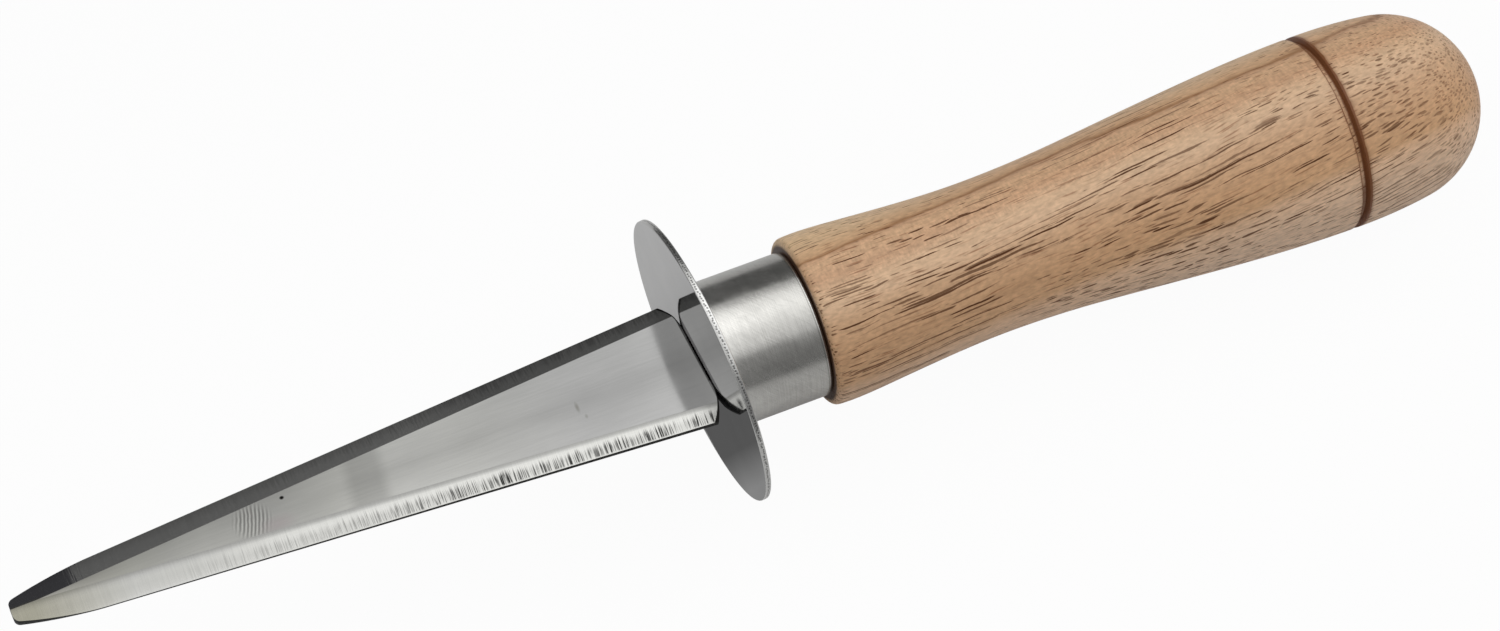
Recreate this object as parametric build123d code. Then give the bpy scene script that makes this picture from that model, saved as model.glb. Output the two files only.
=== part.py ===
from build123d import *

import math
import os

# Oyster knife with a round guard. One stamped blade with a hidden tang, a guard disc, a steel
# ferrule, a turned wooden handle, and the resin bed that holds the tang in the wood.
# Frame, in millimetres: the origin is the centre of the guard's front face. +X runs along the
# knife towards the butt, +Y across the blade, and +Z out of the blade's upper face.
# Distances along the knife are measured from the guard's front face, and those of the
# wooden handle from the rear end of the ferrule, where the wood's shoulder starts.

os.makedirs("parts", exist_ok=True)

# Blade: straight tapered edges, then a curved tip with a blunt nose
blade_thickness = 2.5
blade_length = 86.4
heel_width = 17.0
tip_curve_length = 10.4
tip_curve_width = 6.7
nose_width = 2.6
nose_corner_radius = 0.7

# Ground bevels: the flat between them narrows to a point near the tip
flat_heel_width = 12.7
flat_end_setback = 3.4
edge_land_at_heel = 0.8

# Heel: the middle bears on the guard, and the shoulders are rounded away from it
heel_bearing_width = 8.0
heel_setback = 1.5
heel_corner_radius = 0.5
heel_rim_length = 0.4
heel_rim_depth = 0.2

# Tang: the narrow end of the same stamping, ground a little thinner and hidden in the handle
tang_thickness = 2.1
tang_width = 6.0
tang_end_width = 4.0
tang_length = 62.0

# Guard: a flat disc, seated a little out of square, as on the photographed knife
guard_diameter = 36.6
guard_thickness = 0.75
guard_edge_radius = 0.15
guard_lean_across_deg = 3.0
guard_lean_through_deg = 2.4
slot_clearance = 0.1

# Ferrule: a plain tube from the guard to the wood
ferrule_diameter = 18.3
ferrule_wall = 0.8
ferrule_end = 13.75
ferrule_lip_radius = 0.45

# Handle outline, from the ferrule's rear end to the butt
front_diameter = 21.2
front_round_radius = 0.8
shoulder_diameter = 21.4
shoulder_distance = 3.2
neck_diameter = 20.5
neck_distance = 10.0
waist_diameter = 19.15
waist_distance = 23.5
belly_diameter = 25.0
belly_to_butt = 19.8
dome_radius = 12.0
dome_start_deg = 8.0
handle_length = 90.6

# The swell from the waist to the belly: shares of that stretch and of its gain in diameter
swell_shares = ((0.27, 0.19), (0.535, 0.58))

# Burnt groove near the butt
groove_to_butt = 21.45
groove_width = 1.05
groove_floor_width = 0.5
groove_depth = 0.6

# Fits inside the handle
tenon_clearance = 0.05
tenon_front_gap = 0.3
adhesive_bed = 0.6
tang_hole_run_out = 1.0

# Length by which a cutter stands past what it cuts
overrun = 2.0

ferrule_bore_diameter = ferrule_diameter - 2 * ferrule_wall
tenon_diameter = ferrule_bore_diameter - 2 * tenon_clearance
tang_hole_diameter = math.hypot(tang_width, tang_thickness) + 2 * adhesive_bed
tang_hole_end = tang_length + tang_hole_run_out
taper_length = blade_length - tip_curve_length
flat_length = blade_length - flat_end_setback
edge_slope = (heel_width - tip_curve_width) / 2 / taper_length
butt_end = ferrule_end + handle_length

# The guard's two faces, the blade's heel and the mouth of the ferrule share one leaning plane
lean_across = math.radians(guard_lean_across_deg)
lean_through = math.radians(guard_lean_through_deg)
guard_normal = Vector(
    math.cos(lean_across) * math.cos(lean_through),
    math.sin(lean_across) * math.cos(lean_through),
    math.sin(lean_through),
)
guard_across = Vector(-math.sin(lean_across), math.cos(lean_across), 0)
guard_front = Plane(origin=(0, 0, 0), x_dir=guard_across, z_dir=guard_normal)
guard_back = guard_front.offset(guard_thickness)
tenon_front = guard_back.offset(tenon_front_gap)


def space_at(plane, reach, side):
    """A block on one side of a plane: Align.MIN lies towards the butt, Align.MAX the tip."""
    width = guard_diameter + 2 * overrun
    return plane * Box(width, width, reach, align=(Align.CENTER, Align.CENTER, side))


def rod_along_knife(diameter, start, end):
    """A round rod on the knife's axis."""
    rod = Cylinder(diameter / 2, end - start, align=(Align.CENTER, Align.CENTER, Align.MIN))
    return Pos(start, 0, 0) * (Rot(0, 90, 0) * rod)


def tapered_plate():
    """The blade's outline at full thickness: straight tapers, curved tip and blunt nose."""
    heel_x = overrun
    heel_half = heel_width / 2 + edge_slope * heel_x
    heel_line = Line((heel_x, -heel_half), (heel_x, heel_half))
    edges = [heel_line]
    for side in (1, -1):
        edge = Line((heel_x, side * heel_half), (-taper_length, side * tip_curve_width / 2))
        tip_curve = TangentArc(edge @ 1, (-blade_length, side * nose_width / 2), tangent=edge % 1)
        edges += [edge, tip_curve]
    edges.append(Line((-blade_length, nose_width / 2), (-blade_length, -nose_width / 2)))
    return extrude(make_face(edges), blade_thickness / 2, both=True)


def heel_limit():
    """The space in front of the guard that the heel and its rounded shoulders stay inside."""
    rise = (heel_width - heel_bearing_width) / 2
    shoulder_radius = (rise**2 + heel_setback**2) / (2 * heel_setback)
    far_x = -(blade_length + overrun) * 2
    bearing_half = heel_bearing_width / 2
    arc_drop = 2 * heel_setback
    arc_reach = math.sqrt(shoulder_radius**2 - (shoulder_radius - arc_drop) ** 2)
    outer_half = bearing_half + arc_reach
    edges = [Line((0, -bearing_half), (0, bearing_half))]
    corners = []
    for side in (1, -1):
        shoulder_end = (-arc_drop, side * outer_half)
        far_end = (far_x, side * outer_half)
        edges.append(TangentArc((0, side * bearing_half), shoulder_end, tangent=(0, side)))
        edges.append(Line(shoulder_end, far_end))
        corners.append(far_end)
    edges.append(Line(corners[0], corners[1]))
    limit = extrude(make_face(edges), blade_thickness, both=True)
    return Rot(0, 0, guard_lean_across_deg) * limit


def soften_heel_rim(plate):
    """Break the heel's upper and lower edges, so that both flats end clear of the guard."""
    for face in (1, -1):
        flat = plate.faces().filter_by(Axis.Z).sort_by(Axis.Z)[-1 if face > 0 else 0]
        bearing_edge = flat.edges().sort_by(Axis.X)[-1]
        plate = chamfer(bearing_edge, heel_rim_length, heel_rim_depth, reference=flat)
    return plate


def bevel_waste(side, face):
    """What one ground bevel removes: side is +1 or -1 across Y, face +1 or -1 across Z."""
    flat_heel = Vector(0, side * flat_heel_width / 2, face * blade_thickness / 2)
    flat_tip = Vector(-flat_length, 0, face * blade_thickness / 2)
    edge_heel = Vector(0, side * heel_width / 2, face * edge_land_at_heel / 2)
    along = flat_heel - flat_tip
    outward = along.cross(edge_heel - flat_heel) * (side * face)
    plane = Plane(origin=flat_heel, x_dir=along, z_dir=outward)
    length = 2 * (blade_length + overrun)
    width = 2 * heel_width
    return plane * Box(length, width, heel_width, align=(Align.CENTER, Align.CENTER, Align.MIN))


def make_tang():
    """The narrow end of the stamping, from inside the heel to its end in the handle."""
    root_x = -heel_setback
    root_half = tang_width / 2
    end_half = tang_end_width / 2
    outline = Polyline(
        (root_x, -root_half),
        (tang_length, -end_half),
        (tang_length, end_half),
        (root_x, root_half),
        close=True,
    )
    return extrude(make_face(outline), tang_thickness / 2, both=True)


def make_blade():
    """Blade and tang in one piece."""
    plate = tapered_plate() & heel_limit()
    upright = plate.edges().filter_by(Axis.Z)
    heel_corners = upright.filter_by_position(Axis.X, -2 * heel_setback, -heel_setback / 2)
    plate = fillet(heel_corners, heel_corner_radius)
    nose_corners = plate.edges().filter_by(Axis.Z).group_by(Axis.X)[0]
    plate = fillet(nose_corners, nose_corner_radius)
    plate = soften_heel_rim(plate)
    for side in (1, -1):
        for face in (1, -1):
            plate -= bevel_waste(side, face)
    plate -= space_at(guard_front, overrun + heel_width, Align.MIN)
    return plate + make_tang()


def make_guard():
    """The round guard, with the slot that the tang passes through."""
    disc = Cylinder(guard_diameter / 2, guard_thickness, align=(Align.CENTER, Align.CENTER, Align.MIN))
    disc = guard_front * fillet(disc.edges(), guard_edge_radius)
    slot = Box(
        guard_diameter,
        tang_width + 2 * slot_clearance,
        tang_thickness + 2 * slot_clearance,
    )
    return disc - slot


def make_ferrule():
    """The tube between the guard and the wood, with a softened rear lip."""
    start = -guard_diameter / 2
    tube = rod_along_knife(ferrule_diameter, start, ferrule_end)
    rear_rim = tube.edges().group_by(Axis.X)[-1]
    tube = fillet(rear_rim, ferrule_lip_radius)
    tube -= rod_along_knife(ferrule_bore_diameter, start - overrun, ferrule_end + overrun)
    return tube - space_at(guard_back, guard_diameter, Align.MAX)


def handle_profile():
    """Half the outline of the turned wood, without its tenon."""
    front = Vector(ferrule_end, front_diameter / 2)
    belly_distance = handle_length - belly_to_butt
    swell_length = belly_distance - waist_distance
    swell_gain = belly_diameter - waist_diameter
    stations = [
        (shoulder_distance, shoulder_diameter),
        (neck_distance, neck_diameter),
        (waist_distance, waist_diameter),
    ]
    for length_share, gain_share in swell_shares:
        station_distance = waist_distance + length_share * swell_length
        stations.append((station_distance, waist_diameter + gain_share * swell_gain))
    stations.append((belly_distance, belly_diameter))
    points = [Vector(ferrule_end + distance, diameter / 2) for distance, diameter in stations]
    dome_angle = math.radians(dome_start_deg)
    dome_start = Vector(
        butt_end - dome_radius + dome_radius * math.sin(dome_angle),
        dome_radius * math.cos(dome_angle),
    )
    dome_direction = Vector(math.cos(dome_angle), -math.sin(dome_angle))
    side = Spline(front, *points, tangents=[(1, 0), (1, 0)])
    crown = Spline(points[-1], dome_start, tangents=[(1, 0), dome_direction])
    dome = TangentArc(dome_start, (butt_end, 0), tangent=dome_direction)
    front_line = Line((ferrule_end, 0), front)
    axis_line = Line((butt_end, 0), (ferrule_end, 0))
    return make_face([front_line, side, crown, dome, axis_line])


def groove_waste():
    """The ring that the burnt groove removes."""
    centre = butt_end - groove_to_butt + groove_width / 2
    floor_radius = belly_diameter / 2 - groove_depth
    wall_slope = (groove_width - groove_floor_width) / 2 / groove_depth
    outer_half = groove_width / 2 + wall_slope * overrun
    section = Polyline(
        (centre - groove_floor_width / 2, floor_radius),
        (centre + groove_floor_width / 2, floor_radius),
        (centre + outer_half, belly_diameter / 2 + overrun),
        (centre - outer_half, belly_diameter / 2 + overrun),
        close=True,
    )
    return revolve(make_face(section), Axis.X)


def make_handle():
    """The turned handle with its tenon, tang hole and groove."""
    wood = revolve(handle_profile(), Axis.X)
    front_rim = wood.edges().filter_by(GeomType.CIRCLE).group_by(Axis.X)[0]
    wood = fillet(front_rim, front_round_radius)
    tenon = rod_along_knife(tenon_diameter, -guard_diameter / 2, ferrule_end + overrun)
    tenon -= space_at(tenon_front, guard_diameter, Align.MAX)
    wood += tenon
    wood -= groove_waste()
    return wood - rod_along_knife(tang_hole_diameter, -guard_diameter / 2, tang_hole_end)


def make_adhesive(blade):
    """The cured resin between the tang and the wall of its hole."""
    bed = rod_along_knife(tang_hole_diameter, -guard_diameter / 2, tang_hole_end)
    bed -= space_at(tenon_front, guard_diameter, Align.MAX)
    return bed - blade


blade = make_blade()
pieces = {
    "blade": blade,
    "guard_disc": make_guard(),
    "ferrule": make_ferrule(),
    "handle": make_handle(),
    "tang_adhesive": make_adhesive(blade),
}

for name, piece in pieces.items():
    export_step(piece, f"parts/{name}.step")
    size = piece.bounding_box().size
    print(f"{name}: {len(piece.solids())} solid, {size.X:.2f} x {size.Y:.2f} x {size.Z:.2f} mm")
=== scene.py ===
# %% [markdown]
# # An oyster knife
# The knife lies on its guard and on the swell of its handle. The blade is stamped from steel
# sheet and ground on a belt, the guard is a polished disc, the ferrule is a short satin tube,
# and the handle is turned from rubberwood. The CAD model fixes where everything is, so this
# script only builds the visible surfaces round it, piece by piece, and gives each its finish.

# %% Load the CAD model
import math

import bmesh
import bpy
from mathutils import Matrix, Vector
from mathutils.geometry import interpolate_bezier


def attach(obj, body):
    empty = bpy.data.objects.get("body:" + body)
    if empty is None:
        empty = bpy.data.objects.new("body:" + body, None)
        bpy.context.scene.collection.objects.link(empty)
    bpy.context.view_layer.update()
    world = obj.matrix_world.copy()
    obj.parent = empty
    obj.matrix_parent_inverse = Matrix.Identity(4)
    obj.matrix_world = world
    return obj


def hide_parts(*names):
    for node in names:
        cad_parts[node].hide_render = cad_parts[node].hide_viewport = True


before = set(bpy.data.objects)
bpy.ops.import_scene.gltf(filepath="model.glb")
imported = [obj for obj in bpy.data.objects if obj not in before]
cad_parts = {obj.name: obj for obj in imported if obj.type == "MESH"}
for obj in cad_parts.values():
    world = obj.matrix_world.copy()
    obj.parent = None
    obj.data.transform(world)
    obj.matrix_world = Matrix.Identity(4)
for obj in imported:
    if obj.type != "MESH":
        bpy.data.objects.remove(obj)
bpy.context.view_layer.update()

MM = 0.001


# %% [markdown]
# ## The camera
# The photograph was taken from above, from in front of the tip, with a long lens. Its place was
# found by matching the outline of the guard, the blade and the handle, so it is written here as
# three turns of the knife and a distance, which is how it was measured. Moving a camera by eye
# would be quicker, but the ellipse of the guard shows every degree of error.

# %% Camera
photo_width_px = 1500
focal_px = 4231.0
camera_distance = 507.92 * MM
knife_offset = Vector((-6.165, -5.55, 0)) * MM
turn_in_picture = Matrix.Rotation(math.radians(20.079), 3, "Z")
turn_to_tip = Matrix.Rotation(math.radians(11.702), 3, "Y")
turn_to_viewer = Matrix.Rotation(math.radians(-24.956), 3, "X")
knife_to_view = turn_in_picture @ turn_to_tip @ turn_to_viewer

camera_data = bpy.data.cameras.new("camera")
camera_data.sensor_fit = "HORIZONTAL"
camera_data.sensor_width = 36.0
camera_data.lens = focal_px / photo_width_px * camera_data.sensor_width
camera_data.clip_start = 0.01
camera_data.clip_end = 20
camera = bpy.data.objects.new("camera", camera_data)
camera_place = knife_to_view.transposed() @ (Vector((0, 0, camera_distance)) - knife_offset)
camera.matrix_world = Matrix.Translation(camera_place) @ knife_to_view.transposed().to_4x4()
bpy.context.scene.collection.objects.link(camera)
bpy.context.scene.camera = camera
print("camera at", [round(value / MM, 1) for value in camera_place], "mm")

# %% [markdown]
# ## Small tools for the pieces
# Every piece starts as a bmesh, which is Blender's mesh with its operators, and is turned into
# an object at the end. Sharp edges on a real object are never perfectly sharp: a bevel of a few
# hundredths of a millimetre catches the light, so one helper rounds every hard edge of a piece.

# %% Mesh tools
merge_distance = 0.0005 * MM
plane_nearness = 0.0001 * MM
rim_nearness = 0.001 * MM


def finish_piece(bm, name, materials, node):
    """Close the bmesh into an object that takes the place of a CAD node."""
    bmesh.ops.remove_doubles(bm, verts=bm.verts, dist=merge_distance)
    bmesh.ops.recalc_face_normals(bm, faces=bm.faces)
    mesh = bpy.data.meshes.new(name)
    bm.to_mesh(mesh)
    bm.free()
    for material in materials:
        mesh.materials.append(material)
    piece = bpy.data.objects.new(name, mesh)
    bpy.context.scene.collection.objects.link(piece)
    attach(piece, "root")
    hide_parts(node)
    print(f"{name}: {len(mesh.polygons)} faces in {len(materials)} finishes")
    return piece


def shade_up_to_angle(piece, sharp_angle_deg):
    """Smooth shading, except over edges sharper than an angle."""
    piece.data.shade_smooth()
    piece.data.set_sharp_from_angle(angle=math.radians(sharp_angle_deg))


def shade_small_faces(piece, flat_area_mm2):
    """Smooth shading for the small faces of rounded edges, with the large faces left truly flat."""
    for face in piece.data.polygons:
        face.use_smooth = face.area < flat_area_mm2 * MM**2


def round_hard_edges(bm, width, angle_deg, segments=2):
    """Bevel each edge where two faces meet at more than an angle."""
    bm.normal_update()
    limit = math.radians(angle_deg)
    hard = [edge for edge in bm.edges if len(edge.link_faces) == 2 and edge.calc_face_angle() > limit]
    bmesh.ops.bevel(
        bm, geom=hard, offset=width, offset_type="OFFSET", segments=segments,
        profile=0.5, affect="EDGES", material=-1, clamp_overlap=True,
    )
    return len(hard)


def slice_off(bm, point, outward):
    """Cut off what lies outside a plane, and give back the edges of the cut."""
    cut = bmesh.ops.bisect_plane(
        bm, geom=bm.verts[:] + bm.edges[:] + bm.faces[:], dist=plane_nearness,
        plane_co=point, plane_no=outward, clear_outer=True,
    )
    return [item for item in cut["geom_cut"] if isinstance(item, bmesh.types.BMEdge)]


def profile_line(bm, points):
    """A line of edges through points given as distance along the knife and radius, in mm."""
    verts = [bm.verts.new((x * MM, 0, radius * MM)) for x, radius in points]
    for start, end in zip(verts, verts[1:]):
        bm.edges.new((start, end))
    return verts


def spin_round_knife(bm, steps):
    """Turn the profile that is in the bmesh once round the knife's axis."""
    bmesh.ops.spin(
        bm, geom=bm.verts[:] + bm.edges[:], cent=(0, 0, 0), axis=(1, 0, 0),
        angle=math.tau, steps=steps, use_merge=True, use_duplicate=False,
    )
    bmesh.ops.remove_doubles(bm, verts=bm.verts, dist=merge_distance)
    bmesh.ops.recalc_face_normals(bm, faces=bm.faces)
    bm.normal_update()


def round_rim(bm, x, inner_radius, width):
    """Round the outer edge of a ring-shaped face that stands across the knife's axis."""
    corner_angle = math.radians(60)
    margin, rim_segments = 0.1, 5
    outside = (inner_radius + margin) * MM
    rim = []
    for edge in bm.edges:
        away = max(abs(vert.co.x - x * MM) for vert in edge.verts)
        radius = min(vert.co.yz.length for vert in edge.verts)
        if edge.calc_face_angle(0) > corner_angle and away < rim_nearness and radius > outside:
            rim.append(edge)
    bmesh.ops.bevel(
        bm, geom=rim, offset=width * MM, offset_type="OFFSET", segments=rim_segments,
        profile=0.5, affect="EDGES", material=-1, clamp_overlap=True,
    )
    return len(rim)


print("vertices closer than", merge_distance / MM, "mm are merged")

# %% [markdown]
# ## Small tools for the finishes
# A material is a chain of nodes. Colours are written as hex values, as a paint program shows
# them, and one function turns them into the linear values that light obeys. Another adds a node,
# sets it and links it, and gives back its outputs, so that a finish reads from top to bottom.
# The kinds of nodes used most have short names here. A socket that shares its name with others
# on its node is called by its number: Mix takes its share at 0 and its colours at 6 and 7, and
# gives the mixed colour at 2.

# %% Colour and node tools
MATH = "ShaderNodeMath"
VECTOR = "ShaderNodeVectorMath"
RANGE = "ShaderNodeMapRange"
SPLIT = "ShaderNodeSeparateXYZ"
JOIN = "ShaderNodeCombineXYZ"
NOISE = "ShaderNodeTexNoise"
CELLS = "ShaderNodeTexVoronoi"
RAMP = "ShaderNodeValToRGB"
MIX = "ShaderNodeMix"
BUMP = "ShaderNodeBump"
SURFACE = "ShaderNodeBsdfPrincipled"
OUTPUT = "ShaderNodeOutputMaterial"


def linear(hex_colour):
    """An sRGB hex colour as linear values, by the curve of the sRGB standard."""
    values = []
    for start in (1, 3, 5):
        share = int(hex_colour[start:start + 2], 16) / 255
        values.append(share / 12.92 if share <= 0.04045 else ((share + 0.055) / 1.055) ** 2.4)
    return (*values, 1.0)


def grey(value):
    """A neutral colour of a linear level."""
    return (value, value, value, 1.0)


def add_node(tree, kind, inputs=None, stops=None, **settings):
    """Add a node and give back its outputs.

    Settings are its properties, inputs are values or outputs to link, and stops are the places
    and colours of a ramp.
    """
    made = tree.nodes.new(kind)
    for name, value in settings.items():
        setattr(made, name, value)
    for socket, value in (inputs or {}).items():
        if isinstance(value, bpy.types.NodeSocket):
            tree.links.new(value, made.inputs[socket])
        else:
            made.inputs[socket].default_value = value
    if stops:
        ramp = made.color_ramp.elements
        ramp.remove(ramp[1])
        ramp[0].position, ramp[0].color = stops[0]
        for position, colour in stops[1:]:
            ramp.new(position).color = colour
    return made.outputs


def new_material(name):
    """An empty material: the material, its tree, and its object coordinates in mm."""
    material = bpy.data.materials.new(name)
    material.use_nodes = True
    tree = material.node_tree
    tree.nodes.clear()
    place = add_node(tree, "ShaderNodeTexCoord")["Object"]
    in_mm = (1 / MM, 1 / MM, 1 / MM)
    place_mm = add_node(tree, "ShaderNodeMapping", {"Vector": place, "Scale": in_mm})[0]
    return material, tree, place_mm


def ramp_stops(stops, low=0.0, high=1.0):
    """Ramp stops of places with hex colours or grey levels, moved to the ramp's scale of 0 to 1."""
    return [
        ((at - low) / (high - low), linear(tone) if isinstance(tone, str) else grey(tone))
        for at, tone in stops
    ]


def per_size(*sizes_mm):
    """The scale of a pattern whose features have these sizes."""
    return tuple(1 / size for size in sizes_mm)


def length_round_axis(tree, place_mm, radius):
    """How far round the knife's axis a place lies, in mm at a radius, which unrolls a tube."""
    place = add_node(tree, SPLIT, {0: place_mm})
    angle = add_node(tree, MATH, {0: place["Y"], 1: place["Z"]}, operation="ARCTAN2")[0]
    return add_node(tree, MATH, {0: angle, 1: radius}, operation="MULTIPLY")[0]


print("a colour written #808080 is", round(linear("#808080")[0], 3), "in linear light")

# %% [markdown]
# ## The blade's size
# The real blade is one stamping, 2.5 mm thick, with four ground bevels and a blunt nose. All its
# lengths are half widths or distances from the guard, in mm, because the blade is symmetrical.

# %% Blade values
blade_half_thickness = 1.25
blade_length = 86.4
taper_length = 76.0
heel_half_width = 8.5
taper_end_half_width = 3.35
nose_half_width = 1.3
nose_corner_reach = 0.65
flat_heel_half_width = 6.35
flat_length = 83.0
edge_land_half_at_heel = 0.4
heel_bearing_half = 4.0
heel_setback = 1.5
heel_corner_reach = 0.27
heel_rim_length = 0.4
heel_rim_depth = 0.2
guard_lean_across = math.radians(3.0)
guard_lean_through = math.radians(2.4)
edge_slope = (heel_half_width - taper_end_half_width) / taper_length
border_slope = flat_heel_half_width / flat_length
print("edge runs in", round(edge_slope, 4), "mm per mm, border of the flat", round(border_slope, 4))

# %% [markdown]
# ## Painted shade on the heel
# A thin painted shade runs along the heel's outline, where the blade meets the guard. The outline
# is a straight middle with a circular shoulder on each side, so the shade is drawn where the
# distance from the shoulder's centre nearly equals its radius. It widens a little towards the
# corners.

# %% Painted shade along the heel's outline
heel_shade_width = 0.15
heel_shade_widening = 1.08
heel_shade_fade = (-0.04, 0.02)
heel_shade_tone = "#242423"
shoulder_rise = heel_half_width - heel_bearing_half
shoulder_radius = (shoulder_rise**2 + heel_setback**2) / (2 * heel_setback)


def lay_heel_shade(tree, place_mm, colour):
    """A colour of the blade, with painted shade laid over it along the heel's outline."""
    place = add_node(tree, SPLIT, {0: place_mm})
    lean = math.tan(guard_lean_across)
    behind = add_node(tree, MATH, {0: place["Y"], 1: lean, 2: place["X"]}, operation="MULTIPLY_ADD")[0]
    reach = add_node(tree, MATH, {0: behind, 1: shoulder_radius}, operation="ADD")[0]
    along = add_node(tree, MATH, {0: reach, 1: 0.0}, operation="MAXIMUM")[0]
    side = add_node(tree, MATH, {0: place["Y"]}, operation="ABSOLUTE")[0]
    side_range = {"From Min": heel_bearing_half, "From Max": heel_half_width}
    widest = shoulder_rise * heel_shade_widening
    across = add_node(tree, RANGE, {"Value": side, **side_range, "To Max": widest})[0]
    from_centre = add_node(tree, JOIN, {"X": along, "Y": across})[0]
    distance = add_node(tree, VECTOR, {0: from_centre}, operation="LENGTH")["Value"]
    starts, ends = (shoulder_radius - heel_shade_width + fade for fade in heel_shade_fade)
    share = add_node(tree, RANGE, {"Value": distance, "From Min": starts, "From Max": ends})[0]
    return add_node(tree, MIX, {0: share, 6: colour, 7: linear(heel_shade_tone)}, data_type="RGBA")[2]


print("shoulder radius", round(shoulder_radius, 2), "mm, painted heel shade", heel_shade_width, "mm wide")

# %% [markdown]
# ## Buffed steel
# The flats are stainless steel, rolled, belt-ground and then buffed, so they mirror the room a
# little softly. Their colour carries painted reflection: it is darker half way, darker towards the
# upper bevel and warmer at the tip, and it holds a painted dark reflection in a band across the
# flats. They also carry a few swirls from the buffing wheel, a stain, a smear, two scratches and a
# tiny pit. Ramps along and across the blade give the slow change, and each mark is a distance from
# one point. The real buffing lines are finer than 0.1 mm, and here they are 0.2 mm wide, so that
# the render can show them.

# %% Painted reflection along and across the flats
buffed_steel, buffed, buffed_mm = new_material("buffed_stainless_steel")
buffed_xyz = add_node(buffed, SPLIT, {0: buffed_mm})
tone_from, tone_to = -88.0, 0.0
flat_reflection_stops = [
    (-86.0, "#92908A"), (-77.0, "#8D8C86"), (-72.0, "#91918B"), (-67.0, "#8D8D89"), (-62.5, "#93938F"),
    (-55.0, "#898986"), (-46.5, "#93938F"), (-38.0, "#989895"), (-30.0, "#969693"), (-16.0, "#919190"),
    (-8.0, "#959594"), (0.0, "#A0A09F"),
]
along_range = {"From Min": tone_from, "From Max": tone_to}
along_blade = add_node(buffed, RANGE, {"Value": buffed_xyz["X"], **along_range})[0]
tone = add_node(buffed, RAMP, {0: along_blade}, stops=ramp_stops(flat_reflection_stops, tone_from, tone_to))["Color"]

across_tip_stops = [(0.0, 0.946), (0.5, 0.83), (1.0, 0.714)]
across_heel_stops = [(0.0, 1.0), (0.27, 0.9), (0.5, 0.79), (0.68, 0.85), (0.85, 0.87)]
flat_half_width = add_node(
    buffed, MATH, {0: buffed_xyz["X"], 1: border_slope, 2: flat_heel_half_width}, operation="MULTIPLY_ADD"
)[0]
side_share = add_node(buffed, MATH, {0: buffed_xyz["Y"], 1: flat_half_width}, operation="DIVIDE")[0]
across_flat = add_node(buffed, RANGE, {"Value": side_share, "From Min": -1.0, "From Max": 1.0})[0]
across_tip, across_heel = (
    add_node(buffed, RAMP, {0: across_flat}, stops=ramp_stops(stops))["Color"]
    for stops in (across_tip_stops, across_heel_stops)
)
past_middle = add_node(buffed, RANGE, {"Value": buffed_xyz["X"], "From Min": -52.0, "From Max": -40.0})[0]
reflection_across = add_node(buffed, MIX, {0: past_middle, 6: across_tip, 7: across_heel}, data_type="RGBA")[2]
print("the flats have", len(flat_reflection_stops), "tones from the tip to the heel")

# %% Haze and buffing lines
haze_size = (9, 4, 4)
line_size = (6, 0.2, 0.2)
noise_range = {"From Min": 0.3, "From Max": 0.7}
haze_place = add_node(buffed, VECTOR, {0: buffed_mm, 1: per_size(*haze_size)}, operation="MULTIPLY")[0]
haze = add_node(buffed, NOISE, {"Vector": haze_place, "Scale": 1.0, "Detail": 3.0})[0]
haze_share = add_node(buffed, RANGE, {"Value": haze, **noise_range, "To Min": 0.95, "To Max": 1.05})[0]
line_place = add_node(buffed, VECTOR, {0: buffed_mm, 1: per_size(*line_size)}, operation="MULTIPLY")[0]
buff_lines = add_node(buffed, NOISE, {"Vector": line_place, "Scale": 1.0, "Detail": 2.0})[0]
line_share = add_node(buffed, RANGE, {"Value": buff_lines, **noise_range, "To Min": 0.97, "To Max": 1.03})[0]
print("buffing lines are", line_size[1], "mm wide")

# %% Swirls of the buffing wheel
swirl_centre = (-72.7, 5.5, blade_half_thickness)
swirl_middle = (-56.7, -0.1, blade_half_thickness)
swirl_spacing = 0.45
swirl_rim, swirl_core = 2.8, 1.2
swirl_strength = -0.8
spacing_at_scale_1 = math.tau / 20
swirl_place = add_node(buffed, VECTOR, {0: buffed_mm, 1: swirl_centre}, operation="SUBTRACT")[0]
swirls = add_node(
    buffed, "ShaderNodeTexWave",
    {
        "Vector": swirl_place, "Scale": spacing_at_scale_1 / swirl_spacing,
        "Distortion": 1.5, "Detail": 1.0,
    },
    wave_type="RINGS", rings_direction="Z",
)[1]
swirl_reach = add_node(buffed, VECTOR, {0: buffed_mm, 1: swirl_middle}, operation="DISTANCE")["Value"]
swirl_mask = add_node(
    buffed, RANGE, {"Value": swirl_reach, "From Min": swirl_rim, "From Max": swirl_core},
    interpolation_type="SMOOTHSTEP",
)[0]
swirl_centred = add_node(buffed, MATH, {0: swirls, 1: 0.4}, operation="SUBTRACT")[0]
swirl_depth = add_node(buffed, MATH, {0: swirl_centred, 1: swirl_mask}, operation="MULTIPLY")[0]
swirl_share = add_node(
    buffed, MATH, {0: swirl_depth, 1: swirl_strength, 2: 1.0}, operation="MULTIPLY_ADD"
)[0]
print("swirls are", swirl_spacing, "mm apart, over a spot of", 2 * swirl_rim, "mm")

# %% Painted dark reflection, a band across the flats
dark_reflection_x, dark_reflection_lean = -42.5, -0.12
dark_reflection_rim, dark_reflection_core = 3.2, 1.2
dark_reflection_level = 0.78
dark_reflection_skew = add_node(
    buffed, MATH, {0: buffed_xyz["Y"], 1: dark_reflection_lean, 2: buffed_xyz["X"]}, operation="MULTIPLY_ADD"
)[0]
dark_reflection_offset = add_node(buffed, MATH, {0: dark_reflection_skew, 1: dark_reflection_x}, operation="SUBTRACT")[0]
dark_reflection_distance = add_node(buffed, MATH, {0: dark_reflection_offset}, operation="ABSOLUTE")[0]
dark_reflection_mask = add_node(
    buffed, RANGE, {"Value": dark_reflection_distance, "From Min": dark_reflection_rim, "From Max": dark_reflection_core},
    interpolation_type="SMOOTHSTEP",
)[0]
dark_reflection_share = add_node(buffed, RANGE, {"Value": dark_reflection_mask, "To Min": 1.0, "To Max": dark_reflection_level})[0]
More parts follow.
